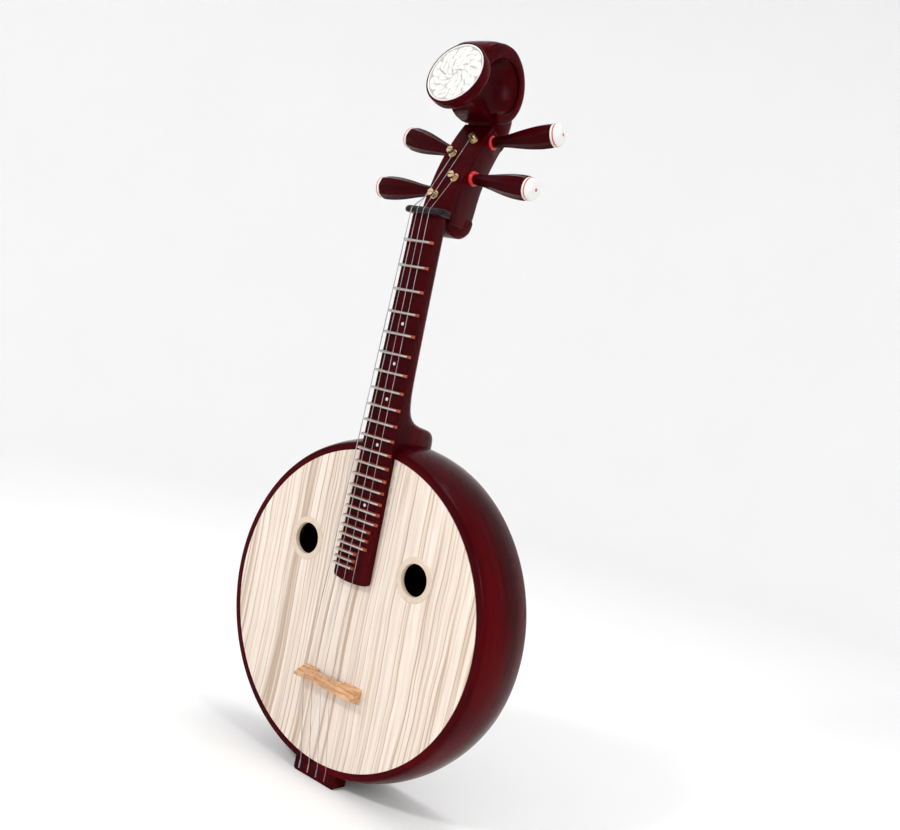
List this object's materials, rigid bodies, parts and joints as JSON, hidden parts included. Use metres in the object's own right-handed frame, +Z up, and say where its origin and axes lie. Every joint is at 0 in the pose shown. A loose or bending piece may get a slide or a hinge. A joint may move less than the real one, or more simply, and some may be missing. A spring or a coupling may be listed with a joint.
{
  "type": "moon lute",
  "caption": "Four-string moon lute (ruan): round hollow sound box, fretted neck, bridge, and a curved pegbox with geared side pegs under a scroll with a round medallion.",
  "frame": {"origin": "centre of the tail block's bottom face", "axes": "+Z up along the neck to the head, +Y from the soundboard to the back board, +X to the right of a viewer who faces the soundboard"},
  "size_m": [0.374, 0.104, 0.8159],
  "materials": {
    "lacquered_wood": "glossy dark red-brown lacquer",
    "inner_softwood": "raw planed softwood",
    "soundboard_wood": "pale straight-grained wood, matt",
    "fingerboard_wood": "satin dark hardwood",
    "fret_base_wood": "orange-red wood strip",
    "nickel_silver": "polished fret wire",
    "pearl": "pearly inlay",
    "dark_horn": "polished black horn",
    "bone": "white bone, polished",
    "red_collar": "bright red ring",
    "brass": "polished",
    "steel": "turned steel",
    "string_steel": "wound steel string",
    "bridge_bamboo": "raw bamboo",
    "silk_thread": "silk whipping"
  },
  "bodies": {
    "root": {"side_rim": "lacquered_wood", "soundboard": "soundboard_wood", "back_board": "lacquered_wood", "front_lining": "inner_softwood", "back_lining": "inner_softwood", "neck_block": "inner_softwood", "tail_inner_block": "inner_softwood", "soundboard_braces": "inner_softwood", "back_braces": "inner_softwood", "sound_post": "inner_softwood", "sound_hole_ring_left": "bone", "sound_hole_ring_right": "bone", "neck": "lacquered_wood", "fingerboard": "fingerboard_wood", "fret_bases": "fret_base_wood", "fret_wires": "nickel_silver", "position_dots": "pearl", "nut": "dark_horn", "pegbox": "lacquered_wood", "pegbox_cover": "lacquered_wood", "scroll_head": "lacquered_wood", "medallion_frame": "lacquered_wood", "bone_medallion": "bone", "peg_collars": "red_collar", "post_bushings": "brass", "gear_brackets": "brass", "string_1": "string_steel", "string_2": "string_steel", "string_3": "string_steel", "string_4": "string_steel", "bridge": "bridge_bamboo", "tail_block": "lacquered_wood", "silk_ends": "silk_thread"},
    "peg_1": {"peg_handle_1": "lacquered_wood", "peg_cap_1": "bone", "worm_shaft_1": "steel"},
    "post_1": {"string_post_1": "brass", "worm_wheel_1": "brass", "string_winding_1": "string_steel"},
    "peg_2": {"peg_handle_2": "lacquered_wood", "peg_cap_2": "bone", "worm_shaft_2": "steel"},
    "post_2": {"string_post_2": "brass", "worm_wheel_2": "brass", "string_winding_2": "string_steel"},
    "peg_3": {"peg_handle_3": "lacquered_wood", "peg_cap_3": "bone", "worm_shaft_3": "steel"},
    "post_3": {"string_post_3": "brass", "worm_wheel_3": "brass", "string_winding_3": "string_steel"},
    "peg_4": {"peg_handle_4": "lacquered_wood", "peg_cap_4": "bone", "worm_shaft_4": "steel"},
    "post_4": {"string_post_4": "brass", "worm_wheel_4": "brass", "string_winding_4": "string_steel"}
  },
  "joints": [
    {"name": "peg_1_turn", "type": "hinge", "parent": "root", "child": "peg_1", "pos_m": [0.00713, 0.04128, 0.71134], "axis": [0.9781, 0.1033, 0.1804], "continuous": true},
    {"name": "post_1_turn", "type": "hinge", "parent": "root", "child": "post_1", "pos_m": [0.009, 0.02475, 0.71066], "axis": [0, -0.8678, 0.497], "continuous": true},
    {"name": "peg_2_turn", "type": "hinge", "parent": "root", "child": "peg_2", "pos_m": [-0.00713, 0.03202, 0.69508], "axis": [0.9781, -0.0865, -0.189], "continuous": true},
    {"name": "post_2_turn", "type": "hinge", "parent": "root", "child": "post_2", "pos_m": [-0.009, 0.01563, 0.69291], "axis": [0, -0.9092, 0.4163], "continuous": true},
    {"name": "peg_3_turn", "type": "hinge", "parent": "root", "child": "peg_3", "pos_m": [0.00963, 0.02129, 0.67014], "axis": [0.9976, -0.0204, -0.0667], "continuous": true},
    {"name": "post_3_turn", "type": "hinge", "parent": "root", "child": "post_3", "pos_m": [0.009, 0.00528, 0.66565], "axis": [0, -0.9563, 0.2924], "continuous": true},
    {"name": "peg_4_turn", "type": "hinge", "parent": "root", "child": "peg_4", "pos_m": [-0.00916, 0.01551, 0.65086], "axis": [0.9998, 0.0034, 0.0171], "continuous": true},
    {"name": "post_4_turn", "type": "hinge", "parent": "root", "child": "post_4", "pos_m": [-0.009, 0, 0.64481], "axis": [0, -0.9803, 0.1977], "continuous": true}
  ],
  "couplings": [
    {"joint": "post_1_turn", "follows": "peg_1_turn", "ratio": 0.071429},
    {"joint": "post_2_turn", "follows": "peg_2_turn", "ratio": 0.071429},
    {"joint": "post_3_turn", "follows": "peg_3_turn", "ratio": 0.071429},
    {"joint": "post_4_turn", "follows": "peg_4_turn", "ratio": 0.071429}
  ]
}
